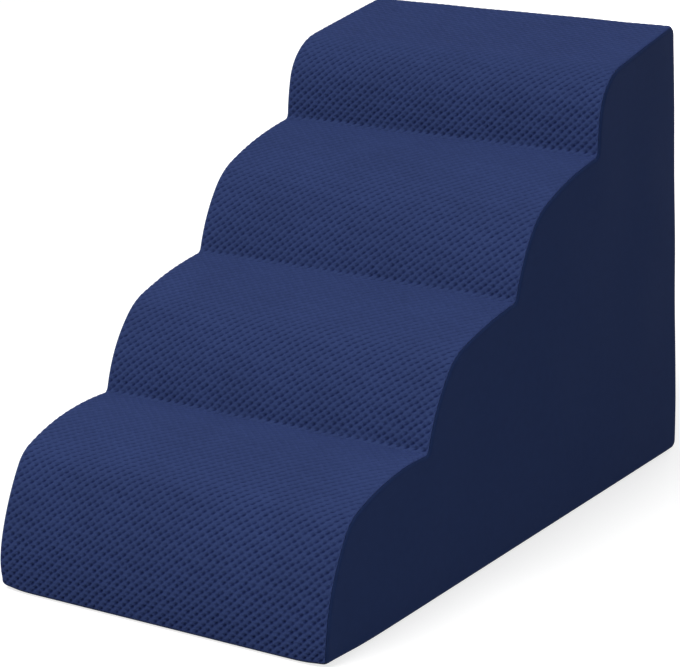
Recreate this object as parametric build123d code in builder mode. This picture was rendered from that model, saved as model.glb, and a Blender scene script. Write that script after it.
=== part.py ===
"""Foam pet stairs: a contoured foam block with four tiers in a zipped fabric cover.

The stairs climb towards +Y and their width lies along X. The origin is on the floor,
in the middle of the whole product. Sizes are in millimetres.
"""

import os
from math import cos, radians, sin, sqrt

from build123d import *

os.makedirs("parts", exist_ok=True)

# The covered block
width = 400
length = 725
height = 490
edge_round = 6
corner_round = 10
toe_round = 6.5
valley_round = 4
# The leg of a bevel that touches a round, as a share of the round's radius
bevel_share = 2 - sqrt(2)

# The side profile. Each riser starts at a foot, given as shares of length and height
foot_shares = [(0, 0), (0.250, 0.310), (0.496, 0.542), (0.738, 0.782), (1, 1)]
# The nose arc of each tier, as shares of the tier's own depth and rise
nose_start_shares = [(0.186, 0.764), (0.243, 0.669), (0.198, 0.575), (0.028, 0.409)]
nose_end_shares = [(0.304, 0.889), (0.396, 0.828), (0.374, 0.761), (0.261, 0.804)]
# How far each riser leans back where it starts, in degrees
riser_leans = [0, 19, 15, 2.8]

# The cover
panel_thickness = 2
side_thickness = 1.4
seam_gap = 0.3
foam_gap = 0.3

# The zip across the back
zip_height = 62
zip_window = 14
tape_width = 15
tape_thickness = 0.8
tooth_pitch = 2.5
tooth_thickness = 2.4
tooth_root_width = 0.9
tooth_tip_width = 1.3
tooth_reach = 1.1
cord_inset = 1.45
cord_width = 1.2
tape_grip = 0.8
end_margin = 7
stop_length = 3
stop_thickness = 3.6
bottom_stop_length = 5

# The slider
slider_length = 16
slider_mouth_width = 11.4
plate_thickness = 1.2
flange_width = 1.1
slider_clearance = 0.2
side_clearance = 0.3
tape_clearance = 0.25
wedge_width = 3
wedge_length = 6.6
wedge_setback = 0.5
outline_round = 1
# Where the outline starts to widen and where it is widest, as shares of its length
waist_share = -0.05
shoulder_share = 0.28
# The wedge is widest at one share of its length, and its tip is a share of its width
wedge_wide_share = 0.65
wedge_tip_share = 0.6
crown_width = 2.4
crown_length = 7.4
crown_thickness = 1
crown_round = 1.4

# The pull tab
pull_length = 26
pull_width = 7.6
pull_end_width = 9.4
pull_thickness = 1.6
pull_clearance = 0.3
eye_length = 5.2
eye_clearance = 0.4
grip_hole_length = 9
grip_hole_width = 4
pull_round = 1.5

# One overrun serves every cut
overrun = 5

# Heights of the zip, measured outwards from the middle of its tapes
channel_half = tooth_thickness / 2 + slider_clearance
plate_face = channel_half + plate_thickness
crown_inside = pull_thickness + 2 * pull_clearance
pull_axis_rise = plate_face + pull_clearance + pull_thickness / 2
crown_top = plate_face + crown_inside + crown_thickness
tape_depth = panel_thickness + tape_thickness / 2

# Places along Y: the slider's crown stands a little proud of the back
proud = crown_top - tape_depth
front_face = -(length + proud) / 2
back_face = front_face + length

# The seams lie at the middle of each rounded edge, at a share of its radius from the face
mid_round_share = 1 - cos(radians(45))
side_seam = width / 2 - edge_round * mid_round_share
base_seam = corner_round * mid_round_share
back_seam = back_face - corner_round * mid_round_share

# Places along X: the zip's stops, its slider when closed and its chain of teeth
strip_half = side_seam - seam_gap / 2
top_stop_start = strip_half - end_margin - stop_length
slider_rest = top_stop_start - side_clearance - slider_length / 2
bottom_stop_end = -strip_half + end_margin + bottom_stop_length
slider_travel = slider_rest - slider_length / 2 - side_clearance - bottom_stop_end
wedge_back = slider_length / 2 - wedge_setback - wedge_length
chain_start = bottom_stop_end + side_clearance
chain_end = slider_rest + wedge_back - side_clearance
tooth_count = int((chain_end - chain_start) / tooth_pitch - 0.5)
chain_half = cord_inset + cord_width
tape_edge = cord_inset + cord_width - tape_grip

zip_plane = Plane(
    origin=(0, back_face - tape_depth, zip_height), x_dir=(1, 0, 0), z_dir=(0, 1, 0)
)
slider_plane = Plane(
    origin=(slider_rest, back_face - tape_depth, zip_height),
    x_dir=(1, 0, 0),
    z_dir=(0, 1, 0),
)


def profile_point(shares):
    """A point of the side profile, given as shares of the length and the height."""
    return Vector(front_face + shares[0] * length, shares[1] * height)


def tier_point(foot, top, shares):
    """A point of one tier, given as shares of its own depth and rise."""
    return Vector(
        foot.X + shares[0] * (top.X - foot.X), foot.Y + shares[1] * (top.Y - foot.Y)
    )


def at_points(vertices, points):
    """The vertices that lie at the given points."""
    return [min(vertices, key=lambda v: (Vector(v) - point).length) for point in points]


def side_profile(inset):
    """The stepped outline, with each of its lines and arcs moved inwards by inset."""
    feet = [profile_point(shares) for shares in foot_shares]
    back_foot = Vector(back_face, 0)
    with BuildSketch() as outer:
        with BuildLine():
            for tier, lean in enumerate(riser_leans):
                foot, top = feet[tier], feet[tier + 1]
                nose_start = tier_point(foot, top, nose_start_shares[tier])
                nose_end = tier_point(foot, top, nose_end_shares[tier])
                rise = (sin(radians(lean)), cos(radians(lean)))
                riser = TangentArc(foot, nose_start, tangent=rise)
                nose = TangentArc(nose_start, nose_end, tangent=riser % 1)
                TangentArc(nose_end, top, tangent=nose % 1)
            Line(feet[-1], back_foot)
            Line(back_foot, feet[0])
        make_face()
        fillet(at_points(outer.vertices(), [feet[0]]), toe_round)
        fillet(at_points(outer.vertices(), [back_foot, feet[-1]]), corner_round)
        fillet(at_points(outer.vertices(), feet[1:-1]), valley_round)
    with BuildSketch() as inner:
        with BuildLine():
            for edge in outer.sketch.face().outer_wire().edges():
                start, middle, end = [
                    edge @ at + (edge % at).rotate(Axis.Z, 90) * inset for at in (0, 0.5, 1)
                ]
                if edge.geom_type == GeomType.LINE:
                    Line(start, end)
                else:
                    ThreePointArc(start, middle, end)
        make_face()
    return inner.sketch


def contoured_block(inset, side_inset):
    """The stepped block, its profile drawn in by inset and its sides by side_inset.

    Its long edges are round on the outside of the cover. Inside, they are bevels that
    touch the rounds that they run under, as cut foam is under a tight seam.
    """
    profile = side_profile(inset)
    with BuildPart() as block:
        with BuildSketch(Plane.YZ):
            add(profile)
        extrude(amount=width / 2 - side_inset, both=True)
        long_edges = block.faces().filter_by(Plane.YZ).edges()
        if inset:
            chamfer(long_edges, (edge_round - side_inset) * bevel_share)
        else:
            fillet(long_edges, edge_round)
    return block.part


# The planes that the panels are cut on, each facing the panel that is kept
right_seam = Plane.YZ.offset(side_seam)
left_seam = Plane.YZ.offset(-side_seam)
lower_seam = Plane.XY.offset(base_seam)
rear_seam = Plane.XZ.offset(-back_seam)
half_gap = seam_gap / 2

with BuildPart() as skin:
    add(contoured_block(0, 0))
    add(contoured_block(panel_thickness, side_thickness), mode=Mode.SUBTRACT)


def cut_panel(label, *seams):
    """The part of the skin that lies in front of each seam plane."""
    with BuildPart() as panel:
        add(skin)
        for seam in seams:
            split(bisect_by=seam.offset(half_gap), keep=Keep.TOP)
    panel.part.label = label
    export_step(panel.part, f"parts/{label}.step")
    return panel.part


# The strips run across the width, between the two side panels
between_sides = (-right_seam, left_seam)
window_top = Plane.XY.offset(zip_height + zip_window / 2 - half_gap)
window_bottom = -Plane.XY.offset(zip_height - zip_window / 2 + half_gap)

tread_panel = cut_panel("tread_panel", *between_sides, lower_seam, rear_seam)
back_panel_upper = cut_panel("back_panel_upper", *between_sides, -rear_seam, window_top)
back_panel_lower = cut_panel(
    "back_panel_lower", *between_sides, -rear_seam, lower_seam, window_bottom
)
base_panel = cut_panel("base_panel", *between_sides, -lower_seam)
side_panel_right = cut_panel("side_panel_right", right_seam)
side_panel_left = cut_panel("side_panel_left", -left_seam)

# The foam fills the cover, and gives way behind the tapes and the slider
with BuildPart() as foam_core:
    add(contoured_block(panel_thickness + foam_gap, side_thickness + foam_gap))
    with BuildSketch(zip_plane.offset(-tape_thickness / 2 - foam_gap)):
        Rectangle(width, 2 * (tape_edge + tape_width + foam_gap))
    extrude(amount=overrun, mode=Mode.SUBTRACT)
    with BuildSketch(zip_plane.offset(-plate_face - foam_gap)):
        Rectangle(width, slider_mouth_width + 2 * side_clearance)
    extrude(amount=overrun, mode=Mode.SUBTRACT)
foam_core.part.label = "foam_core"
export_step(foam_core.part, "parts/foam_core.step")

# The tapes lie behind the edges of the back panels, which curve in past their ends
tape_length = width - 2 * edge_round
for name, side in (("upper", 1), ("lower", -1)):
    with BuildPart() as zip_tape:
        with BuildSketch(zip_plane):
            with Locations((0, -side * (tape_edge + tape_width / 2))):
                Rectangle(tape_length, tape_width)
        extrude(amount=tape_thickness / 2, both=True)
    zip_tape.part.label = f"zip_tape_{name}"
    export_step(zip_tape.part, f"parts/zip_tape_{name}.step")

# Each row of teeth is one comb: a cord that grips the tape and dovetailed teeth that
# reach past the middle, half a pitch out of step with the teeth of the other row
for name, side, shift in (("upper", -1, 0), ("lower", 1, tooth_pitch / 2)):
    first_tooth = chain_start + tooth_tip_width / 2 + shift
    comb = [(chain_start, side * chain_half), (chain_start, side * cord_inset)]
    for tooth in range(tooth_count):
        middle = first_tooth + tooth * tooth_pitch
        comb.append((middle - tooth_root_width / 2, side * cord_inset))
        comb.append((middle - tooth_tip_width / 2, -side * tooth_reach))
        comb.append((middle + tooth_tip_width / 2, -side * tooth_reach))
        comb.append((middle + tooth_root_width / 2, side * cord_inset))
    cord_end = chain_start + tooth_count * tooth_pitch + tooth_pitch / 2
    comb.append((cord_end, side * cord_inset))
    comb.append((cord_end, side * chain_half))
    with BuildPart() as zip_teeth:
        with BuildSketch(zip_plane):
            with BuildLine():
                Polyline(comb, close=True)
            make_face()
        extrude(amount=tooth_thickness / 2, both=True)
        with BuildSketch(zip_plane):
            with Locations((0, side * (tape_edge + tape_width / 2))):
                Rectangle(width, tape_width)
        extrude(amount=tape_thickness / 2, both=True, mode=Mode.SUBTRACT)
    zip_teeth.part.label = f"zip_teeth_{name}"
    export_step(zip_teeth.part, f"parts/zip_teeth_{name}.step")

# A stop is crimped on the edge of each tape beyond the closed slider
with BuildPart() as zip_top_stops:
    for side in (1, -1):
        with BuildSketch(zip_plane):
            with Locations((top_stop_start + stop_length / 2, side * (cord_inset + chain_half) / 2)):
                Rectangle(stop_length, cord_width)
        extrude(amount=stop_thickness / 2, both=True)
        with BuildSketch(zip_plane):
            with Locations((top_stop_start, side * (tape_edge + tape_width / 2))):
                Rectangle(width, tape_width)
        extrude(amount=tape_thickness / 2, both=True, mode=Mode.SUBTRACT)
zip_top_stops.part.label = "zip_top_stops"
export_step(zip_top_stops.part, "parts/zip_top_stops.step")

# One block across both tapes holds the chain together at its far end
with BuildPart() as zip_bottom_stop:
    with BuildSketch(zip_plane):
        with Locations((bottom_stop_end - bottom_stop_length / 2, 0)):
            RectangleRounded(bottom_stop_length, 2 * chain_half, outline_round)
    extrude(amount=stop_thickness / 2, both=True)
    with BuildSketch(zip_plane):
        for side in (1, -1):
            with Locations((-strip_half, side * (tape_edge + tape_width / 2))):
                Rectangle(width, tape_width)
    extrude(amount=tape_thickness / 2, both=True, mode=Mode.SUBTRACT)
zip_bottom_stop.part.label = "zip_bottom_stop"
export_step(zip_bottom_stop.part, "parts/zip_bottom_stop.step")


def slider_outline(side_inset, end_overrun):
    """The slider seen from outside: narrow where the chain leaves, wide at its mouth."""
    rear = chain_half + side_clearance + flange_width - side_inset
    mouth = slider_mouth_width / 2 - side_inset
    end = slider_length / 2 + end_overrun
    half = [(-end, rear), (waist_share * slider_length, rear)]
    half += [(shoulder_share * slider_length, mouth), (end, mouth)]
    return half + [(x, -y) for x, y in reversed(half)]


with BuildPart() as zip_slider:
    with BuildSketch(slider_plane) as plates:
        Polygon(*slider_outline(0, 0), align=None)
        fillet(plates.vertices(), outline_round)
    extrude(amount=plate_face, both=True)
    with BuildSketch(slider_plane):
        Polygon(*slider_outline(flange_width, overrun), align=None)
    extrude(amount=channel_half, both=True, mode=Mode.SUBTRACT)
    with BuildSketch(slider_plane):
        Rectangle(slider_length + overrun, slider_mouth_width + overrun)
    extrude(amount=tape_thickness / 2 + tape_clearance, both=True, mode=Mode.SUBTRACT)
    with BuildSketch(slider_plane):
        wide = wedge_back + wedge_length * wedge_wide_share
        wedge_end = wedge_back + wedge_length
        tip = wedge_width * wedge_tip_share / 2
        Polygon(
            (wedge_back, 0),
            (wide, -wedge_width / 2),
            (wedge_end, -tip),
            (wedge_end, tip),
            (wide, wedge_width / 2),
            align=None,
        )
    extrude(amount=plate_face - plate_thickness / 2, both=True)
    with BuildSketch(Plane(slider_plane.origin, x_dir=(1, 0, 0), z_dir=(0, 0, 1))) as arch:
        with Locations((0, (plate_face + crown_top) / 2 - plate_thickness / 4)):
            Rectangle(crown_length, crown_top - plate_face + plate_thickness / 2)
        fillet(arch.vertices().group_by(Axis.Y)[-1], crown_round)
        with Locations((0, plate_face + crown_inside / 2)):
            Rectangle(crown_length - 2 * crown_thickness, crown_inside, mode=Mode.SUBTRACT)
    extrude(amount=crown_width / 2, both=True)
zip_slider.part.label = "zip_slider"
export_step(zip_slider.part, "parts/zip_slider.step")

# The pull tab lies along the zip, and its bar turns under the crown
pull_plane = slider_plane.offset(pull_axis_rise)
with BuildPart() as zip_pull:
    with BuildSketch(pull_plane) as tab:
        Polygon(
            (0, -pull_end_width / 2),
            (0, pull_end_width / 2),
            (-pull_length, pull_width / 2),
            (-pull_length, -pull_width / 2),
            align=None,
        )
        fillet(tab.vertices().group_by(Axis.X)[0], pull_round)
        with Locations((-eye_length / 2, 0)):
            Rectangle(eye_length, crown_width + 2 * eye_clearance, mode=Mode.SUBTRACT)
        with Locations((-pull_length + pull_round + grip_hole_length / 2, 0)):
            RectangleRounded(
                grip_hole_length, grip_hole_width, outline_round, mode=Mode.SUBTRACT
            )
    extrude(amount=pull_thickness / 2, both=True)
    with BuildSketch(Plane(pull_plane.origin, x_dir=(1, 0, 0), z_dir=(0, 0, 1))):
        Circle(pull_thickness / 2)
    extrude(amount=pull_end_width / 2, both=True)
zip_pull.part.label = "zip_pull"
export_step(zip_pull.part, "parts/zip_pull.step")

print("slider travel", round(slider_travel, 2), "mm, teeth in a row", tooth_count)
print("slider rest X", round(slider_rest, 3), "tape middle Y", round(zip_plane.origin.Y, 3))
print("pull axis Y", round(pull_plane.origin.Y, 3), "proud", round(proud, 3))
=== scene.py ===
"""Pet stairs: a foam block in a zipped fabric cover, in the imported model's frame and in metres.

Every surface is worked out in millimetres as a function over a grid, and goes into its mesh
in metres.
"""

import bpy
import numpy as np
from mathutils import Matrix, Vector


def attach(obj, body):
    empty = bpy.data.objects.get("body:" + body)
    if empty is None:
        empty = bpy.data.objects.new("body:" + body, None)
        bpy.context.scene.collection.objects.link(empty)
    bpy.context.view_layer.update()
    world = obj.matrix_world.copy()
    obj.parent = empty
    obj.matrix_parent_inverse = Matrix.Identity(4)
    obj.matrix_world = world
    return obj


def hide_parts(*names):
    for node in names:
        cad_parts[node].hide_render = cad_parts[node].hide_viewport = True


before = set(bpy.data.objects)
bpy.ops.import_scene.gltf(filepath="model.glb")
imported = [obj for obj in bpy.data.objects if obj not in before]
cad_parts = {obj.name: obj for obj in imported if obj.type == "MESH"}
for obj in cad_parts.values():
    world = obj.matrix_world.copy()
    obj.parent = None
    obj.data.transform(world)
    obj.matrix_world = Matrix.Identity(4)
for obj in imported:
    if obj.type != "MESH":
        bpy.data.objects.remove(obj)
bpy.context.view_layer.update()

MM = 0.001

# The cover's sizes, as in the part's source. The shares that place the steps are fitted a
# little closer to the photograph, by up to 6 mm: the cloth doesn't follow the foam exactly.
WIDTH = 400.0
LENGTH = 725.0
HEIGHT = 490.0
ZIP_PROUD = 3.4
FRONT = -(LENGTH + ZIP_PROUD) / 2
BACK = FRONT + LENGTH
EDGE_ROUND = 6.0
CORNER_ROUND = 10.0
TOE_ROUND = 6.5
VALLEY_ROUND = 6.0
FLAT_HALF = WIDTH / 2 - EDGE_ROUND
FOOT_SHARES = [(0, 0), (0.258, 0.321), (0.496, 0.547), (0.735, 0.780), (1, 1)]
NOSE_START_SHARES = [(0.212, 0.783), (0.246, 0.678), (0.198, 0.575), (0.036, 0.411)]
NOSE_END_SHARES = [(0.316, 0.880), (0.403, 0.825), (0.378, 0.772), (0.282, 0.809)]
RISER_LEANS = [0, 14.8, 15.4, 3.4]
TREAD_THICKNESS = 2.0
PLAIN_THICKNESS = 1.4
FOAM_DEPTH = 2.3

# The seams: the gap between two cloths, the radius by which a cloth's rim turns in, the
# distances from the seam at which that turn is followed, and where the even grid begins.
SEAM_GAP = 0.14
HALF_GAP = SEAM_GAP / 2
SEAM_ROLL = 0.8
RIM_STEPS = SEAM_ROLL * np.array([0.0, 0.07, 0.25, 0.55, 1.0])
RIM_CLEAR = SEAM_ROLL * 1.3

# The zip across the back. The tapes lie apart for the chain and close up past the stops.
ZIP_HEIGHT = 62.0
ZIP_WINDOW = 14.0
TAPE_WIDTH = 15.0
TAPE_THICKNESS = 0.8
TAPE_MIDDLE_Y = 358.4
TAPE_FROM_CHAIN = 1.85
TAPE_CLOSES = 185.5
TAPE_CLOSING = 2.5
TAPE_STAYS_OFF = 0.02
TAPE_PAST_SEAM = 3.0
TAPE_SIDES = 12
# The foam's grooves behind the tapes and behind the slider: a depth, and a reach to each side.
FOAM_GROOVES = [(1.0, TAPE_FROM_CHAIN + TAPE_WIDTH + 3.0), (2.6, 9.5)]
GROOVE_BANK = 2.0

# The dimpled cloth's pattern: rows of dimples, each row half a pitch along from the last.
DIMPLE_PITCH = 9.7
DIMPLE_ROWS = 9.1
DIMPLE_REACH = (2.9, 1.5)
DIMPLE_TILT = np.radians(28)
DIMPLE_DEPTH = 2.0
DIMPLE_STRAY = 0.5
DIMPLE_STRENGTH = 0.91
DIMPLE_STRENGTH_SPREAD = 0.13
RIDGE_RISE = 0.35
# How far down the stairs the hollows' painted shade is set from the dimples themselves.
SHADE_SHIFT = 0.85
# How far the rows wander across and along, and over what length.
ROW_WANDER = (0.35, 0.25)
ROW_WANDER_SIZE = (45.0, 60.0)
# Beside a seam the cloth is flat for the first distance, and the dimples grow over the next.
DIMPLES_START = 0.4
DIMPLES_FADE = 1.2
CELLS_ACROSS = 6
CELLS_ALONG = 10
# Large uneven numbers, which scatter the dimples.
SCATTER = (12.9898, 78.233, 43758.5453)

# The hems along the zip: the cloth folded under and stitched down to the tapes.
HEM_WIDTH = 9.0
HEM_RISE = 0.45
HEM_BANK = 2.0
HEM_ROWS_PAST = 3.0
PUCKER = 0.12
PUCKER_SIZE = 14.0
PUCKER_WIDTHS = 1.5
STITCH_LINE = 3.5
STITCH_PITCH = 3.5
STITCH_GROOVE = 0.4
STITCH_GROOVE_WIDTH = 0.6
STITCH_HOLE_SHARE = 0.4
STITCH_HALF_SHARE = 0.47
STITCH_PLACES = [-0.98, -0.8, -0.35, 0.35, 0.8, 0.98]
STITCH_CELLS = 4
STITCH_SINK = 0.1
STITCH_DIP = 0.35
STITCH_FROM_EDGE = 4.0
THREAD_RADIUS = 0.27
THREAD_SIDES = 6

# Grip dots stand off the base, which lies clear of the floor by them. A dot's rings have
# these radii at these heights over the floor.
DOT_RISE = 0.45
DOT_PITCH = 12.0
DOT_RADII = [1.9, 1.8, 1.2, 0.5]
DOT_HEIGHTS = [0.8, 0.35, 0.06, 0.0]
DOT_SIDES = 10
DOTS_FROM_SIDES = 10.0
DOTS_FROM_ENDS = 22.0

# How the sewn cover leaves the foam's cut shape. The top back draws in from the first place
# to the last, and each bottom corner is soft, with its own reach along the three axes.
DRAW_IN = 0.0447
DRAW_IN_FROM = (100.0, 60.0)
TOE_SOFT = 3.6
HEEL_SOFT = 0.4
TOE_SOFT_REACH = (20.0, 50.0, 20.0)
HEEL_SOFT_REACH = (20.0, 20.0, 20.0)
SOFT_LIFT = 0.9
# Slow waves over it. They fade in over these distances up from the floor, forwards from the
# back, and up and down from the zip, beside which the cloth stays calm for a share of them.
WAVE_DEPTH = 0.45
WAVE_SIZE = 130.0
WAVES_FROM_FLOOR = 60.0
WAVES_FROM_BACK = 120.0
WAVES_FROM_ZIP = 150.0
WAVES_START_SHARE = 0.1
WAVE_COUNT = 9
WAVE_SPREAD = (0.7, 1.5)
# Seeds of the waves: over the cover's three axes, across and along the rows, and in the hems.
COVER_SEEDS = (5, 6, 7)
ROW_SEEDS = (11, 12)
HEM_SEED = 21

# How closely the grids follow the shapes, in mm, radians, or shares of the way to the hub.
PANEL_STEP = 6.0
FOAM_STEP = 20.0
CORNER_STEP = 0.8
TOE_STEP = 0.6
HEM_STEP = 0.45
TAPE_STEP = 4.0
TAPE_END_STEP = 0.6
RING_STEP = 3.5
RING_TURN = np.radians(9)
ZIP_RINGS = (-22.0, 22.0, 0.8)
EDGE_TURNS = np.linspace(0, np.pi / 4, 7)[1:]
SIDE_TURNS = np.radians(np.linspace(57, 90, 5))
FOAM_TURNS = np.radians(np.linspace(0, 90, 6))
BACK_COLUMNS = 24
NEWTON_STEPS = 8
HUB_REACH = 0.985
RIM_RINGS = [0.0035, 0.01, 0.02, 0.035]
FACE_RINGS = (0.06, HUB_REACH, 0.045)
BACK_RINGS = (0.02, HUB_REACH, 0.16)
FOAM_RINGS = (0.05, HUB_REACH, 0.1)


def bend_to(start, heading, end):
    """The stretch of steady bend that leaves start along heading and reaches end.

    A chord of length d that turns off the heading by a belongs to an arc that turns by 2a,
    so it bends by 2 sin(a) / d for each unit of its length.
    """
    chord = np.subtract(end, start)
    off = np.arctan2(chord[1], chord[0]) - heading
    off = (off + np.pi) % (2 * np.pi) - np.pi
    far = np.hypot(*chord)
    return np.array(start, float), heading, 2 * np.sin(off) / far, far / np.sinc(off / np.pi)


def along(stretch, run):
    """The point and heading at a distance run along a stretch.

    An arc that turns by 2h over the run has a chord of run times sin(h) / h, turned by h.
    """
    start, heading, bend, _ = stretch
    half = bend * run / 2
    chord = run * np.sinc(half / np.pi)
    way = heading + half
    return start + chord * np.array([np.cos(way), np.sin(way)]), heading + bend * run


def rounded(stretches, radii):
    """The closed outline with an arc of radii[i] between stretch i and the next one.

    Newton's steps find how much the arc takes off the two stretches, so that the points one
    radius off each of them, on the side that the outline turns to, are the same point.
    """
    count = len(stretches)
    end_cuts = [0.0] * count
    start_cuts = [0.0] * count
    arcs = [None] * count
    for i, radius in enumerate(radii):
        if not radius:
            continue
        one = stretches[i]
        two = stretches[(i + 1) % count]
        turn = (two[1] - one[1] - one[2] * one[3] + np.pi) % (2 * np.pi) - np.pi
        side = np.sign(turn)
        cut_one = cut_two = radius * np.tan(abs(turn) / 2)
        for _ in range(NEWTON_STEPS):
            p, way_p = along(one, one[3] - cut_one)
            q, way_q = along(two, cut_two)
            off_p = side * radius * np.array([-np.sin(way_p), np.cos(way_p)])
            off_q = side * radius * np.array([-np.sin(way_q), np.cos(way_q)])
            slide_p = np.array([np.cos(way_p), np.sin(way_p)]) * (1 - side * radius * one[2])
            slide_q = np.array([np.cos(way_q), np.sin(way_q)]) * (1 - side * radius * two[2])
            step = np.linalg.solve(np.stack([slide_p, slide_q], 1), p + off_p - q - off_q)
            cut_one += step[0]
            cut_two += step[1]
        turn = (way_q - way_p + np.pi) % (2 * np.pi) - np.pi
        arcs[i] = (p, way_p, side / radius, abs(turn) * radius)
        end_cuts[i] = cut_one
        start_cuts[(i + 1) % count] = cut_two
    joined = []
    for i, stretch in enumerate(stretches):
        start, heading = along(stretch, start_cuts[i])
        length = stretch[3] - start_cuts[i] - end_cuts[i]
        joined.append((start, heading, stretch[2], length))
        if arcs[i]:
            joined.append(arcs[i])
    return joined


def stairs_outline():
    """The side's outline: up the four steps, down the back, and forward under the base."""
    feet = [np.array([FRONT + y * LENGTH, z * HEIGHT]) for y, z in FOOT_SHARES]
    stretches = []
    radii = []
    for i, lean in enumerate(RISER_LEANS):
        climb = feet[i + 1] - feet[i]
        nose_start = feet[i] + climb * NOSE_START_SHARES[i]
        nose_end = feet[i] + climb * NOSE_END_SHARES[i]
        riser = bend_to(feet[i], np.pi / 2 - np.radians(lean), nose_start)
        nose = bend_to(nose_start, riser[1] + riser[2] * riser[3], nose_end)
        tread = bend_to(nose_end, nose[1] + nose[2] * nose[3], feet[i + 1])
        stretches += [riser, nose, tread]
        radii += [0, 0, VALLEY_ROUND]
    radii[-1] = CORNER_ROUND
    heel = np.array([BACK, 0.0])
    stretches.append(bend_to(feet[-1], -np.pi / 2, heel))
    stretches.append(bend_to(heel, -np.pi, feet[0]))
    radii += [CORNER_ROUND, TOE_ROUND]
    return rounded(stretches, radii)


OUTLINE = stairs_outline()
STARTS = np.array([stretch[0] for stretch in OUTLINE])
HEADINGS = np.array([stretch[1] for stretch in OUTLINE])
BENDS = np.array([stretch[2] for stretch in OUTLINE])
ENDS = np.cumsum([stretch[3] for stretch in OUTLINE])
ROUND_TRIP = ENDS[-1]


def outline_at(run):
    """Points and headings at distances run round the whole outline, as arrays."""
    run = np.asarray(run, float) % ROUND_TRIP
    at = np.clip(np.searchsorted(ENDS, run, side="right"), 0, len(ENDS) - 1)
    run = run - np.concatenate([[0.0], ENDS])[at]
    half = BENDS[at] * run / 2
    chord = run * np.sinc(half / np.pi)
    way = HEADINGS[at] + half
    steps = np.stack([chord * np.cos(way), chord * np.sin(way)], -1)
    return STARTS[at] + steps, HEADINGS[at] + BENDS[at] * run


# The outline ends with the top corner's arc, the back, the heel's arc, the base and the
# toe's arc. The seams run along the middles of the two corners' arcs, and along the toe's at
# the same height as along the heel's.
TOP_ARC = len(OUTLINE) - 5
HEEL_ARC = len(OUTLINE) - 3
TOP_SEAM = ENDS[TOP_ARC] - OUTLINE[TOP_ARC][3] / 2
HEEL_SEAM = ENDS[HEEL_ARC] - OUTLINE[HEEL_ARC][3] / 2
BASE_SEAM = CORNER_ROUND * (1 - np.cos(np.pi / 4))
TOE_SEAM = -TOE_ROUND * np.arcsin(1 - BASE_SEAM / TOE_ROUND)
SEAM_ACROSS = FLAT_HALF + EDGE_ROUND * np.pi / 4
# The lengths of outline from a corner's seam, and from the toe's, to the flat beside it.
CORNER_PART = CORNER_ROUND * np.pi / 4
TOE_PART = TOE_ROUND * np.pi / 2 + TOE_SEAM
# A place in the side's face from which the whole rim can be seen.
HUB = np.array([190.0, 80.0])


def back_run(height):
    """The distance round the outline to a height on the straight back."""
    return ENDS[TOP_ARC] + STARTS[TOP_ARC + 1][1] - height


UPPER_FOLD = back_run(ZIP_HEIGHT + ZIP_WINDOW / 2)
LOWER_FOLD = back_run(ZIP_HEIGHT - ZIP_WINDOW / 2)


def cover_points(run, across, out, inward=0.0):
    """Points run mm along the outline and across mm over it from the middle, as one grid.

    Across the flat, x is across. Past it the section turns down by the angle (across - flat)
    / edge radius, to a quarter turn. out moves a point along the surface's normal. inward
    moves one on the side's flat from its edge, 0, towards the hub, 1.
    """
    run, across, out, inward = np.broadcast_arrays(run, across, out, inward)
    place, heading = outline_at(run)
    normal = np.stack([-np.sin(heading), np.cos(heading)], -1)
    turn = np.clip((np.abs(across) - FLAT_HALF) / EDGE_ROUND, 0, np.pi / 2)
    reach = np.minimum(np.abs(across), FLAT_HALF) + (EDGE_ROUND + out) * np.sin(turn)
    rise = (EDGE_ROUND + out) * np.cos(turn) - EDGE_ROUND
    section = place + rise[..., None] * normal
    section = section + (HUB - section) * inward[..., None]
    return np.concatenate([(np.sign(across) * reach)[..., None], section], -1)


def smooth(share):
    """A step from 0 to 1 with level ends: 3 s^2 - 2 s^3, for a share s held between them."""
    share = np.clip(share, 0, 1)
    return share**2 * (3 - 2 * share)


def slow_waves(points, seed, size):
    """A smooth field of about -1 to 1: seeded sine waves about size long, added up."""
    draw = np.random.default_rng(seed)
    ways = draw.normal(size=(3, WAVE_COUNT))
    ways /= np.linalg.norm(ways, axis=0)
    lengths = size * draw.uniform(*WAVE_SPREAD, WAVE_COUNT)
    phases = draw.uniform(0, 2 * np.pi, WAVE_COUNT)
    waves = np.sin(points @ (ways * 2 * np.pi / lengths) + phases)
    return waves.sum(-1) / np.sqrt(WAVE_COUNT * 2)


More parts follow.
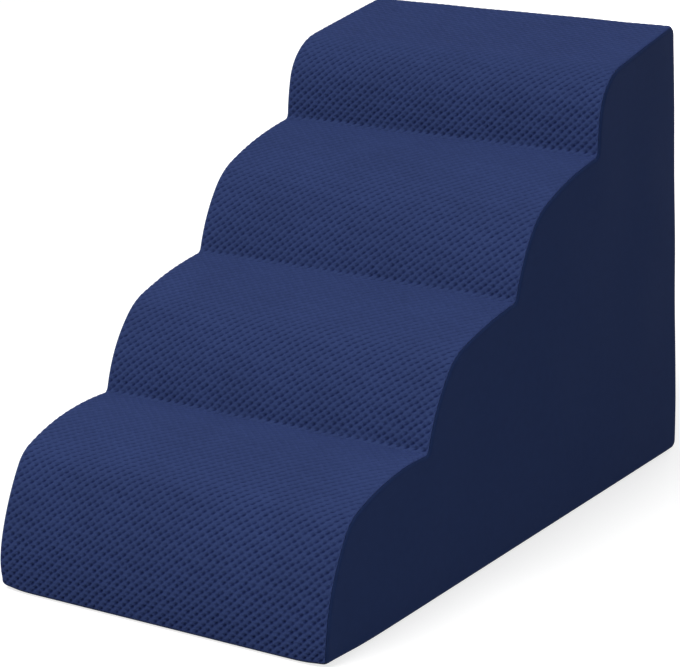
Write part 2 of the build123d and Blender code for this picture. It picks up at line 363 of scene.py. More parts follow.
def settle(points):
    """Moves the cover's points from the cut foam's shape to the fitted cover's.

    The top back draws in: x shrinks by 4.5 % times (share of the way back)^1.5 times (share
    of the way up). Each bottom corner moves towards the middle, by 3.6 mm in front and
    0.4 mm behind, fading as exp(-distance^2), with the distance in units of its reach. Slow
    waves of half a millimetre are left by the foam under it, and they fade to nothing at the
    floor and round the zip.
    """
    x, y, z = np.moveaxis(points, -1, 0)
    back = np.clip((y - DRAW_IN_FROM[0]) / (BACK - DRAW_IN_FROM[0]), 0, 1)
    up = np.clip((z - DRAW_IN_FROM[1]) / (HEIGHT - DRAW_IN_FROM[1]), 0, 1)
    moved = np.stack([x * (1 - DRAW_IN * back**1.5 * up), y, z], -1)
    ends = ((FRONT, 1, TOE_SOFT, TOE_SOFT_REACH), (BACK, -1, HEEL_SOFT, HEEL_SOFT_REACH))
    for side in (-1, 1):
        for end, way, soft, reach in ends:
            corner = np.array([side * WIDTH / 2, end, 0.0])
            far = np.linalg.norm((points - corner) / reach, axis=-1)
            pull = np.array([-side, way, SOFT_LIFT]) / np.sqrt(3)
            moved += soft * np.exp(-(far**2))[..., None] * pull
    from_zip = (BACK - y) / WAVES_FROM_BACK + np.abs(z - ZIP_HEIGHT) / WAVES_FROM_ZIP
    calm = np.clip(z / WAVES_FROM_FLOOR, 0, 1) * np.clip(from_zip - WAVES_START_SHARE, 0, 1)
    for axis, seed in enumerate(COVER_SEEDS):
        moved[..., axis] += WAVE_DEPTH * calm * slow_waves(points, seed, WAVE_SIZE)
    return moved


def rolled(distance):
    """How far a cloth's rim turns in at a distance from its seam: a quarter circle."""
    short = np.clip(SEAM_ROLL - distance, 0, SEAM_ROLL)
    return SEAM_ROLL - np.sqrt(SEAM_ROLL**2 - short**2)


def skin_faces(rows, columns):
    """Face corners of a grid whose columns join up in a ring, and where each face starts.

    A quad joins each pair of neighbouring rows, and one face closes each end row.
    """
    here = np.arange(rows * columns).reshape(rows, columns)
    beside = np.roll(here, -1, axis=1)
    quads = np.stack([here[:-1], beside[:-1], beside[1:], here[1:]], -1).ravel()
    corners = np.concatenate([quads, here[0, ::-1], here[-1]])
    starts = np.append(np.arange(0, len(quads), 4), [len(quads), len(quads) + columns])
    return corners, starts


def signed_volume(points, corners, starts):
    """A sixth of the sum of a . (b x c) over each face's fan of triangles."""
    sizes = np.diff(np.append(starts, len(corners)))
    first = np.repeat(starts, sizes)
    place = np.arange(len(corners)) - first
    inner = np.flatnonzero((place > 0) & (place < np.repeat(sizes, sizes) - 1))
    a = points[corners[first[inner]]]
    b = points[corners[inner]]
    c = points[corners[inner + 1]]
    return np.einsum("ij,ij->", a, np.cross(b, c)) / 6


def add_skin(name, points, material, cut=None, amounts=None):
    """A closed mesh over a ring grid (rows, columns, 3) in mm, or over many copies of one.

    Where its signed volume says that the faces point inwards, the rings run the other way.
    cut is the cloth's own flat coordinates in mm, kept as a UV map in metres. amounts are
    point attributes.
    """
    grid = points.reshape((-1,) + points.shape[-3:])
    rows, columns = grid.shape[1:3]
    corners, starts = skin_faces(rows, columns)
    way = 1 if signed_volume(grid[0].reshape(-1, 3), corners, starts) > 0 else -1
    vertices = grid[:, :, ::way].reshape(-1, 3) * MM
    shift = np.arange(len(grid))[:, None]
    starts = (starts + shift * len(corners)).ravel()
    corners = (corners + shift * rows * columns).ravel()
    mesh = bpy.data.meshes.new(name)
    mesh.vertices.add(len(vertices))
    mesh.vertices.foreach_set("co", vertices.astype(np.float32).ravel())
    mesh.loops.add(len(corners))
    mesh.loops.foreach_set("vertex_index", corners.astype(np.int32))
    mesh.polygons.add(len(starts))
    mesh.polygons.foreach_set("loop_start", starts.astype(np.int32))
    mesh.update(calc_edges=True)
    mesh.polygons.foreach_set("use_smooth", np.ones(len(starts), bool))
    if cut is not None:
        flat = cut[:, ::way].reshape(-1, 2)[corners] * MM
        mesh.uv_layers.new(name="cut").data.foreach_set("uv", flat.astype(np.float32).ravel())
    for key, value in (amounts or {}).items():
        kept = mesh.attributes.new(key, "FLOAT", "POINT")
        kept.data.foreach_set("value", value[:, ::way].astype(np.float32).ravel())
    mesh.materials.append(material)
    piece = bpy.data.objects.new(name, mesh)
    bpy.context.scene.collection.objects.link(piece)
    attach(piece, "stairs")
    return piece


def linear(hex_colour):
    """A linear colour from an sRGB hex value, by the sRGB curve."""
    values = [int(hex_colour[i:i + 2], 16) / 255 for i in (0, 2, 4)]
    return [v / 12.92 if v <= 0.04045 else ((v + 0.055) / 1.055) ** 2.4 for v in values] + [1.0]


def node(tree, kind, inputs=None, **settings):
    """Adds a shader node, sets its properties, and fills its inputs.

    An input is a value, a socket, or a node, which stands for its first output in use. Mix
    takes its share as input 0 and its colours as 6 and 7, or its values as 2 and 3. MapRange
    takes its value as input 0 from the range 1 to 2 to the range 3 to 4.
    """
    made = tree.nodes.new("ShaderNode" + kind)
    for key, value in settings.items():
        setattr(made, key, value)
    for key, value in (inputs or {}).items():
        if isinstance(value, bpy.types.Node):
            value = next(socket for socket in value.outputs if socket.enabled)
        if isinstance(value, bpy.types.NodeSocket):
            tree.links.new(value, made.inputs[key])
        else:
            made.inputs[key].default_value = value
    return made


def new_material(name):
    """A material with an empty node tree, and that tree."""
    material = bpy.data.materials.new(name)
    material.use_nodes = True
    material.node_tree.nodes.clear()
    return material, material.node_tree


def dimpled_fleece():
    """Short-pile polyester fleece, embossed in rows of dimples.

    The pile scatters light softly and shines a little paler at its edges. The hollows of the
    dimples are painted darker, as painted shade, by the attribute dimple.
    """
    material, tree = new_material("dimpled_polyester_fleece")
    place = node(tree, "TexCoord").outputs["Object"]
    # The attribute dimple says where the hollows' painted shade goes.
    dimple_amount = node(tree, "Attribute", attribute_name="dimple").outputs["Fac"]
    pile = node(tree, "TexNoise", {"Vector": place, "Scale": 1 / (1.1 * MM), "Detail": 2.0})
    cloud = node(tree, "TexNoise", {"Vector": place, "Scale": 1 / (60 * MM), "Detail": 3.0})
    tufts = {0: pile, 6: linear("23305a"), 7: linear("33426c")}
    ridge = node(tree, "Mix", tufts, data_type="RGBA")
    # The hollows' colour is painted shade, darker than the ridges' own navy.
    tufts = {0: pile, 6: linear("0c183f"), 7: linear("111d46")}
    painted_hollow_shade = node(tree, "Mix", tufts, data_type="RGBA")
    share = node(tree, "MapRange", {0: dimple_amount, 1: 0.15, 2: 0.85})
    colour = node(tree, "Mix", {0: share, 6: ridge, 7: painted_hollow_shade}, data_type="RGBA")
    tone = node(tree, "MapRange", {0: cloud, 1: 0.3, 2: 0.7, 3: 0.94, 4: 1.05})
    shader = node(tree, "BsdfPrincipled", {
        "Base Color": node(tree, "HueSaturation", {"Value": tone, "Color": colour}),
        "Roughness": 0.95,
        "Specular IOR Level": 0.15,
        "Sheen Weight": 0.3,
        "Sheen Roughness": 0.5,
        "Sheen Tint": linear("3046a8"),
        "Normal": node(tree, "Bump", {"Height": pile, "Distance": 0.35 * MM, "Strength": 0.6}),
    })
    node(tree, "OutputMaterial", {"Surface": shader})
    return material


def plain_weave(name, dark, light, thread=1.1):
    """Plain-woven polyester, dyed in the thread and calendered smooth.

    It shows as an even dark face with a faint grid of threads and a little cloudiness. The
    real threads are half a millimetre apart, and are drawn at twice that so that they show.
    """
    material, tree = new_material(name)
    cut = node(tree, "UVMap", uv_map="cut")
    ways = node(tree, "SeparateXYZ", {0: cut}).outputs
    turns = 2 * np.pi / (thread * MM)
    warp = node(tree, "Math", {0: ways[0], 1: turns}, operation="MULTIPLY")
    weft = node(tree, "Math", {0: ways[1], 1: turns}, operation="MULTIPLY")
    warp = node(tree, "Math", {0: warp}, operation="SINE")
    weft = node(tree, "Math", {0: weft}, operation="SINE")
    crossed = node(tree, "Math", {0: warp, 1: weft}, operation="MULTIPLY")
    weave = node(tree, "MapRange", {0: crossed, 1: -1.0, 2: 1.0})
    place = node(tree, "TexCoord").outputs["Object"]
    cloud = node(tree, "TexNoise", {"Vector": place, "Scale": 1 / (9 * MM), "Detail": 4.0})
    fibre = node(tree, "TexNoise", {"Vector": place, "Scale": 1 / (0.8 * MM), "Detail": 1.0})
    # Seven tenths of the dye's unevenness is cloud, and the rest follows the threads.
    uneven = node(tree, "Mix", {0: 0.7, 2: weave, 3: cloud})
    share = node(tree, "MapRange", {0: uneven, 1: 0.25, 2: 0.75})
    colour = {0: share, 6: linear(dark), 7: linear(light)}
    relief = {"Height": weave, "Distance": 0.12 * MM, "Strength": 0.6}
    fuzz = {"Height": fibre, "Distance": 0.12 * MM, "Strength": 0.5}
    fuzz["Normal"] = node(tree, "Bump", relief)
    shader = node(tree, "BsdfPrincipled", {
        "Base Color": node(tree, "Mix", colour, data_type="RGBA"),
        "Roughness": 0.85,
        "Specular IOR Level": 0.12,
        "Sheen Weight": 0.05,
        "Sheen Roughness": 0.5,
        "Sheen Tint": linear("4a5a90"),
        "Normal": node(tree, "Bump", fuzz),
    })
    node(tree, "OutputMaterial", {"Surface": shader})
    return material


def simple_finish(name, colour, roughness, gloss=0.5, grain=0.3, rise=0.05):
    """A moulded, spun or foamed finish: one colour, a fifth darker in the low of its grain. That
    darkening is partly the grain's own tone and partly painted shade in its hollows.

    gloss is how strongly its face mirrors, and 0.5 is an ordinary smooth plastic. The grain
    is that many millimetres wide and rises by rise.
    """
    material, tree = new_material(name)
    place = node(tree, "TexCoord").outputs["Object"]
    fine = node(tree, "TexNoise", {"Vector": place, "Scale": 1 / (grain * MM), "Detail": 3.0})
    # The low places of the grain are darker: partly the grain's own tone, partly painted shade.
    dark = [v * 0.8 for v in linear(colour)[:3]] + [1.0]
    grain_tone_and_shade = {0: fine, 6: dark, 7: linear(colour)}
    shader = node(tree, "BsdfPrincipled", {
        "Base Color": node(tree, "Mix", grain_tone_and_shade, data_type="RGBA"),
        "Roughness": roughness,
        "Specular IOR Level": gloss,
        "Normal": node(tree, "Bump", {"Height": fine, "Distance": rise * MM, "Strength": 1.0}),
    })
    node(tree, "OutputMaterial", {"Surface": shader})
    return material


def painted_zinc():
    """Die-cast zinc, painted dark and worn by handling.

    The paint is smooth and half glossy, with a faint orange peel. It has rubbed thin in small
    spots, where the grey metal shows through and shines more.
    """
    material, tree = new_material("painted_zinc_casting")
    place = node(tree, "TexCoord").outputs["Object"]
    spots = node(tree, "TexNoise", {"Vector": place, "Scale": 1 / (1.4 * MM), "Detail": 6.0})
    peel = node(tree, "TexNoise", {"Vector": place, "Scale": 1 / (0.5 * MM), "Detail": 1.0})
    bare = node(tree, "MapRange", {0: spots, 1: 0.62, 2: 0.8})
    coats = {0: peel, 6: linear("15192a"), 7: linear("1c2136")}
    worn = {0: bare, 6: node(tree, "Mix", coats, data_type="RGBA"), 7: linear("5c606a")}
    ripple = node(tree, "Bump", {"Height": peel, "Distance": 0.02 * MM, "Strength": 0.5})
    chips = {"Height": bare, "Distance": 0.03 * MM, "Strength": 0.5, "Normal": ripple}
    shader = node(tree, "BsdfPrincipled", {
        "Base Color": node(tree, "Mix", worn, data_type="RGBA"),
        "Metallic": node(tree, "Math", {0: bare, 1: 0.9}, operation="MULTIPLY"),
        "Roughness": node(tree, "MapRange", {0: peel, 1: 0.3, 2: 0.7, 3: 0.28, 4: 0.4}),
        "Normal": node(tree, "Bump", chips),
    })
    node(tree, "OutputMaterial", {"Surface": shader})
    return material


FLEECE = dimpled_fleece()
WOVEN = plain_weave("plain_woven_polyester", "112043", "152549")
# The tapes are woven coarser and dyed darker, and look ribbed beside the chain.
TAPE = plain_weave("zip_tape_polyester", "151b33", "1d2440", thread=1.6)
# The base cloth is dyed nearer to grey, to hide what it picks up from the floor.
BASE = plain_weave("base_woven_polyester", "1a1f30", "23293d")
# Foam cut with a blade shows its open cells: pale, quite matt and rough all over. They are
# drawn about twice as large as they are, so that they show.
FOAM = simple_finish("cut_polyurethane_foam", "d8d2b8", 0.9, grain=1.5, rise=0.6)
# Moulded nylon is smooth and half matt, so each tooth has a soft dim shine.
NYLON = simple_finish("moulded_nylon", "1c2342", 0.45, gloss=0.2)
ZINC = painted_zinc()
# Printed rubber is nearly black, with a broad shine.
RUBBER = simple_finish("grip_dots_rubber", "0f1116", 0.6)
# Spun thread is matt, and a little paler than the cloth that it holds.
THREAD = simple_finish("sewing_thread", "232d52", 0.7, gloss=0.25, grain=0.4)


def spaced(start, end, step):
    """Even distances from start to end, about step apart, both ends included."""
    return np.linspace(start, end, max(2, int(round(abs(end - start) / step)) + 1))


def round_turn(sides):
    """The angles of a small round section's corners."""
    return np.arange(sides) * 2 * np.pi / sides


def whole_steps(start, end, step):
    """The whole multiples of step, from the last before start to the first past end."""
    return np.arange(np.floor(start / step), end / step + 1) * step


def between_seams(start, end, middle):
    """Distances from a seam at start to one at end: the rims' steps, and middle inside them."""
    inner = middle[(middle > start + RIM_CLEAR) & (middle < end - RIM_CLEAR)]
    return np.concatenate([start + RIM_STEPS, inner, end - RIM_STEPS[::-1]])


def wrapped_panel(name, run, across, face, thickness, slot, material, amounts=None):
    """A panel that wraps the outline, as one closed skin: its face, and a coarser back.

    Rows are the distances run. Columns are the distances across on the face, whose points
    stand face mm proud, then those of the back, thickness below the cover's surface. The
    face turns in by a quarter circle at all four seams.
    """
    edge = np.minimum(across - across[0], across[-1] - across)
    end = np.minimum(run - run[0], run[-1] - run)
    turned = face - np.maximum(rolled(edge)[None, :], rolled(end)[:, None])
    back = np.linspace(across[-1], across[0], BACK_COLUMNS)
    ring = np.concatenate([across, back])[None, :]
    out = np.concatenate([turned, np.full((len(run), BACK_COLUMNS), -thickness)], 1)
    points = settle(cover_points(run[:, None], ring, out))
    cut = np.stack(np.broadcast_arrays(ring, run[:, None]), -1)
    padded_amounts = {}
    for key, value in (amounts or {}).items():
        padded_amounts[key] = np.pad(value, ((0, 0), (0, BACK_COLUMNS)))
    piece = add_skin(name, points, material, cut, padded_amounts)
    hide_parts(slot)
    return piece


def scattered(column, row, seed):
    """A fixed number from -1 to 1 for each dimple: the fraction of a large multiple of a sine."""
    turn = SCATTER[0] * column + SCATTER[1] * row + seed
    return np.modf(np.sin(turn) * SCATTER[2])[0]


def dimples(across, run):
    """How far each point lies in a dimple, from 0 to 1.

    Dimples lie at every pitch along each row, and half a pitch over in the rows between. A
    dimple is exp(-r^3), with r^2 = (u / half length)^2 + (v / half width)^2 along and over
    its tilted oval, so it has a flat floor and steep walls. The rows wander a little, and
    each dimple's place and depth differ a little, as embossing leaves them.
    """
    spot = np.stack([across, run, np.zeros_like(run)], -1)
    across = across + ROW_WANDER[0] * slow_waves(spot, ROW_SEEDS[0], ROW_WANDER_SIZE[0])
    run = run + ROW_WANDER[1] * slow_waves(spot, ROW_SEEDS[1], ROW_WANDER_SIZE[1])
    deepest = np.zeros_like(run)
    for shift in (0.0, 0.5):
        u = across / DIMPLE_PITCH - shift
        v = run / DIMPLE_ROWS - shift
        column = np.round(u)
        row = np.round(v)
        x = (u - column) * DIMPLE_PITCH + DIMPLE_STRAY * scattered(column, row, shift + 2)
        y = (v - row) * DIMPLE_ROWS + DIMPLE_STRAY * scattered(column, row, shift + 4)
        long = (x * np.cos(DIMPLE_TILT) + y * np.sin(DIMPLE_TILT)) / DIMPLE_REACH[0]
        short = (y * np.cos(DIMPLE_TILT) - x * np.sin(DIMPLE_TILT)) / DIMPLE_REACH[1]
        strength = DIMPLE_STRENGTH + DIMPLE_STRENGTH_SPREAD * scattered(column, row, shift)
        deepest = np.maximum(deepest, strength * np.exp(-((long**2 + short**2) ** 1.5)))
    return deepest


def tread_strip():
    """The dimpled strip over the risers and treads, from the toe's seam to the top back one.

    Sewing pulls the cloth flat beside its seams, so the dimples fade out there. Painted shade
    for the dimples' hollows is kept as the attribute dimple, and is set a little lower down
    the stairs than the dimple itself.
    """
    columns = whole_steps(-SEAM_ACROSS, SEAM_ACROSS, DIMPLE_PITCH / CELLS_ACROSS)
    rows = whole_steps(TOE_SEAM, TOP_SEAM, DIMPLE_ROWS / CELLS_ALONG)
    across = between_seams(-SEAM_ACROSS + HALF_GAP, SEAM_ACROSS - HALF_GAP, columns)
    run = between_seams(TOE_SEAM + HALF_GAP, TOP_SEAM - HALF_GAP, rows)
    over, up = np.broadcast_arrays(across[None, :], run[:, None])
    from_seam = np.minimum(up - TOE_SEAM, TOP_SEAM - up)
    from_seam = np.minimum(from_seam, SEAM_ACROSS - np.abs(over))
    dimple_amount = np.clip((from_seam - DIMPLES_START) / DIMPLES_FADE, 0, 1)
    face = (RIDGE_RISE - DIMPLE_DEPTH * dimples(over, up)) * dimple_amount
    # The painted shade in the hollows, set a little lower down the stairs than the dimples.
    shade = dimples(over, up + SHADE_SHIFT) * dimple_amount
    return wrapped_panel(
        "tread_cloth", run, across, face, TREAD_THICKNESS, "tread_panel", FLEECE,
        {"dimple": shade},
    )


tread_cloth = tread_strip()


def flat_across(step):
    """Distances across a plain panel: even over its flat, and close together over its edges."""
    turns = EDGE_TURNS * EDGE_ROUND
    flat = spaced(-FLAT_HALF, FLAT_HALF, step)
    middle = np.concatenate([-FLAT_HALF - turns[::-1], flat, FLAT_HALF + turns])
    return between_seams(-SEAM_ACROSS + HALF_GAP, SEAM_ACROSS - HALF_GAP, middle)


def hem(distance, across):
    """How far a folded and stitched edge stands proud, at a distance from its fold.

    The second layer lifts the cloth by a smooth step that ends at the hem's width. The
    thread pulls in a groove of exp(-((distance - line) / width)^2), deepest at the needle
    holes. Slow waves pucker it a little.
    """
    step = smooth((HEM_WIDTH + HEM_BANK / 2 - distance) / HEM_BANK)
    holes = 1 - STITCH_HOLE_SHARE + STITCH_HOLE_SHARE * np.cos(2 * np.pi * across / STITCH_PITCH)
    off_line = (distance - STITCH_LINE) / STITCH_GROOVE_WIDTH
    groove = STITCH_GROOVE * holes * np.exp(-(off_line**2))
    spot = np.stack(np.broadcast_arrays(across, distance, 0.0), -1)
    fade = np.clip(PUCKER_WIDTHS - distance / HEM_WIDTH, 0, 1)
    pucker = PUCKER * slow_waves(spot, HEM_SEED, PUCKER_SIZE) * fade
    return (HEM_RISE + pucker) * step - groove


def plain_panel(name, start, end, slot, material, close_ends, fold=None, lift=0.0):
    """A plain panel from one distance round the outline to another.

    close_ends are lists of rows for its bends and hems. fold is the distance round the
    outline of an edge that is hemmed, if it has one. lift moves the whole face outwards.
    """
    middle = np.unique(np.concatenate([spaced(start, end, PANEL_STEP), *close_ends]))
    run = between_seams(start + HALF_GAP, end - HALF_GAP, middle)
    across = flat_across(PANEL_STEP if fold is None else STITCH_PITCH / STITCH_CELLS)
    face = np.full((len(run), len(across)), lift)
    if fold is not None:
        face += hem(np.abs(run - fold)[:, None], across[None, :])
    return wrapped_panel(name, run, across, face, PLAIN_THICKNESS, slot, material)


corner_rows = spaced(0, CORNER_PART, CORNER_STEP)
hem_rows = spaced(0, HEM_WIDTH + HEM_ROWS_PAST, HEM_STEP)
toe_end = TOE_SEAM + ROUND_TRIP
base_cloth = plain_panel(
    "base_cloth", HEEL_SEAM, toe_end, "base_panel", BASE,
    [HEEL_SEAM + corner_rows, toe_end - spaced(0, TOE_PART, TOE_STEP)], lift=-DOT_RISE,
)
back_cloth_upper = plain_panel(
    "back_cloth_upper", TOP_SEAM, UPPER_FOLD, "back_panel_upper", WOVEN,
    [TOP_SEAM + corner_rows, UPPER_FOLD - hem_rows], UPPER_FOLD,
)
back_cloth_lower = plain_panel(
    "back_cloth_lower", LOWER_FOLD, HEEL_SEAM, "back_panel_lower", WOVEN,
    [HEEL_SEAM - corner_rows, LOWER_FOLD + hem_rows], LOWER_FOLD,
)


def add_stitching():
    """The thread along both hems: each stitch is a short, bent round bar between two holes.

    Its middle stands half out of the groove, and its ends dip by the stitch's dip times t^4.
    Its radius shrinks to its ends as sqrt(1 - t^2).
    """
    count = int((FLAT_HALF - STITCH_FROM_EDGE) / STITCH_PITCH)
    middles = (np.arange(-count, count) + 0.5) * STITCH_PITCH
    t = np.array(STITCH_PLACES)[:, None]
    turn = round_turn(THREAD_SIDES)
    radius = THREAD_RADIUS * np.sqrt(1 - t**2)
    across = middles[:, None, None] + t * STITCH_HALF_SHARE * STITCH_PITCH
    out = HEM_RISE - STITCH_SINK + radius * np.sin(turn) - STITCH_DIP * t**4
    lines = np.array([UPPER_FOLD - STITCH_LINE, LOWER_FOLD + STITCH_LINE])
    run = lines[:, None, None, None] + radius * np.cos(turn)
    points = settle(cover_points(run, across, out))
    add_skin("zip_stitching", points, THREAD)


def add_base_dots():
    """Grip dots under the base: low domes in staggered rows."""
    count = int(FLAT_HALF / DOT_PITCH)
    across = np.arange(-count, count + 1) * DOT_PITCH
    lengthways = np.arange(FRONT + DOTS_FROM_ENDS, BACK - DOTS_FROM_ENDS, DOT_PITCH)
    x, y = np.meshgrid(across, lengthways)
    x = x + (np.arange(len(lengthways)) % 2)[:, None] * DOT_PITCH / 2
    held = np.abs(x) < FLAT_HALF - DOTS_FROM_SIDES
    x = x[held][:, None, None]
    y = y[held][:, None, None]
    turn = round_turn(DOT_SIDES)
    radius = np.array(DOT_RADII)[:, None]
    height = np.array(DOT_HEIGHTS)[:, None]
    dome = np.broadcast_arrays(x + radius * np.cos(turn), y + radius * np.sin(turn), height)
    add_skin("base_grip_dots", np.stack(dome, -1), RUBBER)


add_stitching()
add_base_dots()


def ring_stations():
    """Distances round the whole outline, closer together at sharp turns and at the zip."""
    spots = []
    for end, (_, _, bend, length) in zip(ENDS, OUTLINE):
        count = int(np.ceil(max(length / RING_STEP, abs(bend) * length / RING_TURN)))
        spots.append(end - length + np.arange(count) * length / count)
    spots.append(back_run(ZIP_HEIGHT) + spaced(*ZIP_RINGS))
    return np.unique(np.concatenate(spots).round(3))


def side_panel(name, side, slot):
    """A side's cloth: from its rim, half way round the edge, over the flat to the hub.

    The rows are rings. They start at the hub, come out over the face to the rim, and go
    back in behind it.
    """
    edge = np.concatenate([SEAM_ACROSS + HALF_GAP + RIM_STEPS, FLAT_HALF + EDGE_ROUND * SIDE_TURNS])
    face_inward = np.concatenate([RIM_RINGS, spaced(*FACE_RINGS)])[::-1]
    back_inward = spaced(*BACK_RINGS)
    face_across = np.concatenate([np.full(len(face_inward), edge[-1]), edge[::-1]])
    back_across = np.concatenate([edge, np.full(len(back_inward), edge[-1])])
    across = np.concatenate([face_across, back_across])
    inward = np.concatenate([face_inward, np.zeros(2 * len(edge)), back_inward])
    face_out = -rolled(face_across - SEAM_ACROSS - HALF_GAP)
    out = np.concatenate([face_out, np.full(len(back_across), -PLAIN_THICKNESS)])
    run = ring_stations()[None, :]
    points = settle(cover_points(run, side * across[:, None], out[:, None], inward[:, None]))
    piece = add_skin(name, points, WOVEN, cut=points[..., 1:])
    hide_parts(slot)
    return piece


side_cloth_left = side_panel("side_cloth_left", -1, "side_panel_left")
side_cloth_right = side_panel("side_cloth_right", 1, "side_panel_right")


def foam_block():
    """The foam block, the cover's own shape less its cloth: rings from hub to hub.

    The slider and the tapes press a groove into its back: a deep one behind the slider's
    path and a shallow one behind the tapes, each with sloping banks.
    """
    flat = spaced(-FLAT_HALF, FLAT_HALF, FOAM_STEP)[1:-1]
    rings = spaced(*FOAM_RINGS)
    edge = FLAT_HALF + EDGE_ROUND * FOAM_TURNS
    outer = np.concatenate([edge, np.full(len(rings), edge[-1])])
    sink = np.concatenate([np.zeros(len(edge)), rings])
    across = np.concatenate([-outer[::-1], flat, outer])
    inward = np.concatenate([sink[::-1], np.zeros(len(flat)), sink])
    run = ring_stations()
    from_zip = np.abs(run - back_run(ZIP_HEIGHT))
    out = np.full(len(run), -FOAM_DEPTH)
    for depth, reach in FOAM_GROOVES:
        out -= depth * np.clip((reach - from_zip) / GROOVE_BANK, 0, 1)
    points = settle(cover_points(run[None, :], across[:, None], out[None, :], inward[:, None]))
    piece = add_skin("foam_block", points, FOAM)
    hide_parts("foam_core")
    return piece


foam = foam_block()


def zip_tape(name, low, slot):
    """A zip's tape: a flat strip with rounded rims, as a ring section carried along it.

    Its ends follow the cover's edge round into the side seams. Past the stops the two tapes
    close up by a smooth step, so that no foam shows between them.
    """
    straight = spaced(0, TAPE_CLOSES, TAPE_STEP)[:-1]
    closing = spaced(TAPE_CLOSES, SEAM_ACROSS + TAPE_PAST_SEAM, TAPE_END_STEP)
    half = np.concatenate([straight, closing])
    across = np.concatenate([-half[:0:-1], half])[:, None]
    turn = round_turn(TAPE_SIDES)
    radius = TAPE_THICKNESS / 2
    middle = np.where(np.cos(turn) > 0, low + TAPE_WIDTH - radius, low + radius)
    by_chain = np.abs(middle - ZIP_HEIGHT) < TAPE_WIDTH / 2
    closed = smooth((np.abs(across) - TAPE_CLOSES) / TAPE_CLOSING)
    shift = np.sign(ZIP_HEIGHT - low) * (TAPE_FROM_CHAIN - TAPE_STAYS_OFF) * closed
    heights = middle + radius * np.cos(turn) + shift * by_chain
    out = TAPE_MIDDLE_Y - BACK + radius * np.sin(turn)
    points = cover_points(back_run(heights), across, out)
    cut = np.stack(np.broadcast_arrays(across, heights), -1)
    piece = add_skin(name, points, TAPE, cut=cut)
    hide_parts(slot)
    return piece


tape_upper = zip_tape("tape_upper", ZIP_HEIGHT + TAPE_FROM_CHAIN, "zip_tape_upper")
tape_lower = zip_tape("tape_lower", ZIP_HEIGHT - TAPE_FROM_CHAIN - TAPE_WIDTH, "zip_tape_lower")

# The zip's hard parts are the solids themselves, with these finishes.
CAD_FINISHES = {
    "zip_teeth_upper": NYLON,
    "zip_teeth_lower": NYLON,
    "zip_top_stops": ZINC,
    "zip_bottom_stop": ZINC,
    "zip_slider": ZINC,
    "zip_pull": ZINC,
}
for name, material in CAD_FINISHES.items():
    for held in bpy.data.objects[name].material_slots:
        held.material = material

# The camera stands where the photograph was taken from.
PHOTO_WIDTH = 680
SENSOR = 36.0
FOCAL_PIXELS = 2765.0
CAMERA_PLACE = (1.5407, -2.3355, 1.0647)
CAMERA_AZIMUTH = 33.741
CAMERA_DOWN = 17.113
CAMERA_ROLL = -1.306


def add_camera():
    """A camera that looks down its own -Z, built from its azimuth, downward angle and roll."""
    azimuth, down, roll = np.radians([CAMERA_AZIMUTH, CAMERA_DOWN, CAMERA_ROLL])
    right = np.array([np.cos(azimuth), np.sin(azimuth), 0.0])
    back = np.array([np.cos(down) * np.sin(azimuth), -np.cos(down) * np.cos(azimuth), np.sin(down)])
    up = np.cross(back, right)
    turned = np.array([
        np.cos(roll) * right + np.sin(roll) * up, np.cos(roll) * up - np.sin(roll) * right, back
    ])
    lens = bpy.data.cameras.new("camera")
    lens.sensor_width = SENSOR
    lens.sensor_fit = "HORIZONTAL"
    lens.lens = FOCAL_PIXELS * SENSOR / PHOTO_WIDTH
    lens.clip_end = 50
    camera = bpy.data.objects.new("camera", lens)
    camera.matrix_world = Matrix.Translation(CAMERA_PLACE) @ Matrix(turned.T.tolist()).to_4x4()
    bpy.context.scene.collection.objects.link(camera)
    bpy.context.scene.camera = camera


# The world shows white but lights with the first strength. The floor glows with the second
# where it is seen, so that it shows white outside the shadow.
SKY = 0.22
FLOOR_GLOW = 0.72
FLOOR_HALF = 12.0
# Square softboxes: a name, a place, what it aims at, its size, and its power in watts. The
# first three give the photograph's shading, and the last two light the sides that it hides.
SOFTBOXES = [
    ("key", (-1.2, -3.0, 5.6), (0, 0, 0.25), 3.0, 295),
    ("front_light", (-0.5, -2.8, 1.0), (0, 0, 0.3), 1.6, 7.5),
    ("fill", (2.2, -1.0, 0.5), (0, 0, 0.1), 1.0, 21),
    ("left_light", (-2.4, 0.2, 0.5), (0, 0, 0.2), 1.2, 14),
    ("back_light", (-0.4, 3.2, 0.5), (0, 0, 0.2), 1.2, 60),
]


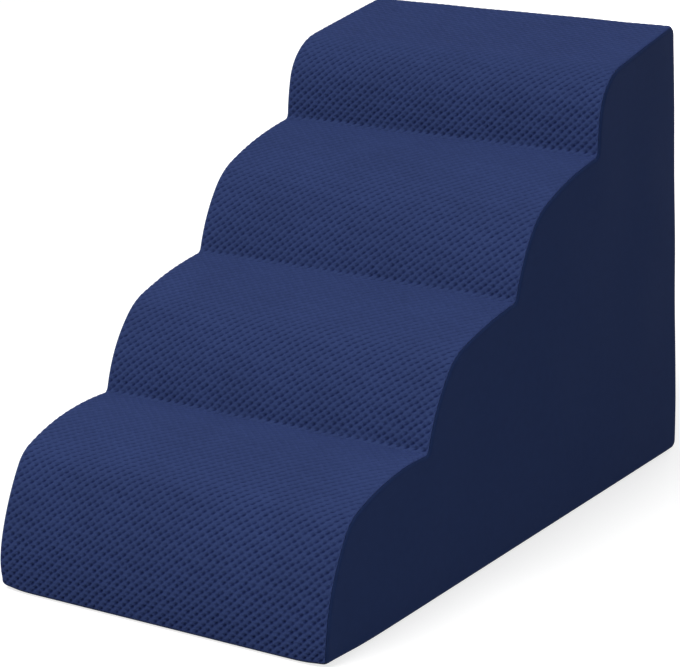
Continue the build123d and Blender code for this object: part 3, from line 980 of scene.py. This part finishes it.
def add_softbox(name, place, aim, size, watts):
    """A square area light at place, turned to face aim."""
    lamp = bpy.data.lights.new(name, "AREA")
    lamp.size = size
    lamp.energy = watts
    light = bpy.data.objects.new(name, lamp)
    light.location = place
    light.rotation_euler = (Vector(aim) - Vector(place)).to_track_quat("-Z", "Y").to_euler()
    bpy.context.scene.collection.objects.link(light)


def seen_directly(tree):
    """1 for rays from the camera, from a gloss or through glass, and 0 for all others."""
    path = node(tree, "LightPath").outputs
    seen = {0: path["Is Camera Ray"], 1: path["Is Glossy Ray"]}
    seen = {0: node(tree, "Math", seen, operation="MAXIMUM"), 1: path["Is Transmission Ray"]}
    return node(tree, "Math", seen, operation="MAXIMUM")


def add_world():
    """A world that shows white, and lights the scene by less."""
    world = bpy.data.worlds.new("studio")
    bpy.context.scene.world = world
    world.use_nodes = True
    tree = world.node_tree
    tree.nodes.clear()
    lit = node(tree, "Background", {"Color": linear("ffffff"), "Strength": SKY})
    shown = node(tree, "Background", {"Color": linear("ffffff"), "Strength": 1.0})
    sky = node(tree, "MixShader", {0: seen_directly(tree), 1: lit, 2: shown})
    node(tree, "OutputWorld", {"Surface": sky})


def add_floor():
    """A pale floor that shows white but keeps the shadow, and is plain grey to other rays."""
    material, tree = new_material("studio_floor")
    shadowed = node(tree, "BsdfDiffuse", {"Color": linear("b4b4b4")})
    glow = node(tree, "Emission", {"Color": linear("ffffff"), "Strength": FLOOR_GLOW})
    shown = node(tree, "AddShader", {0: shadowed, 1: glow})
    plain = node(tree, "BsdfDiffuse", {"Color": linear("808080")})
    mixed = node(tree, "MixShader", {0: seen_directly(tree), 1: plain, 2: shown})
    node(tree, "OutputMaterial", {"Surface": mixed})
    low = -FLOOR_HALF
    high = FLOOR_HALF
    mesh = bpy.data.meshes.new("floor")
    corners = [(low, low, 0), (high, low, 0), (high, high, 0), (low, high, 0)]
    mesh.from_pydata(corners, [], [(0, 1, 2, 3)])
    mesh.materials.append(material)
    floor = bpy.data.objects.new("floor", mesh)
    bpy.context.scene.collection.objects.link(floor)


add_camera()
add_world()
add_floor()
for softbox in SOFTBOXES:
    add_softbox(*softbox)
bpy.context.scene.view_settings.view_transform = "Standard"
